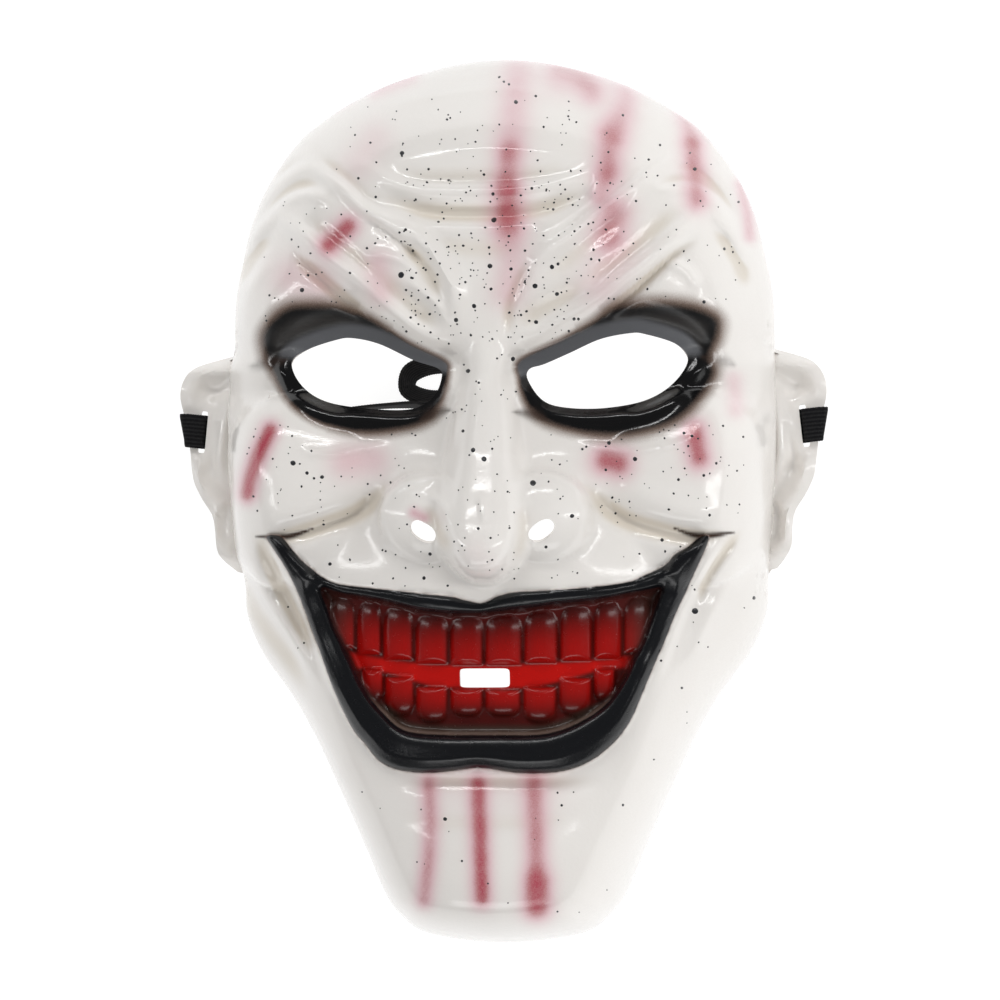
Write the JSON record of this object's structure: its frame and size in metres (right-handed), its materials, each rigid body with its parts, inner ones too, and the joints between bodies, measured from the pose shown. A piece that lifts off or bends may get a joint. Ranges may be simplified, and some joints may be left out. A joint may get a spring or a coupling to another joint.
{
  "type": "vampire mask",
  "caption": "Moulded full-face mask with a wide toothy grin, pierced eyes, nostrils and mouth, side ears and an elastic head strap.",
  "frame": {"origin": "middle of the mask's bounding box, on the plane of its rim, with the mask lying face up", "axes": "+Z out of the face, +Y towards the forehead, +X to the right of someone who looks at the face"},
  "size_m": [0.2008, 0.273, 0.088],
  "materials": {
    "ivory_plastic": "glossy ivory moulded plastic with black lips and eye sockets, red teeth, pink airbrushed streaks and fine black spatter",
    "black_elastic": "matt black ribbed woven elastic"
  },
  "bodies": {
    "root": {"mask_shell": "ivory_plastic", "elastic_strap": "black_elastic"}
  },
  "joints": []
}
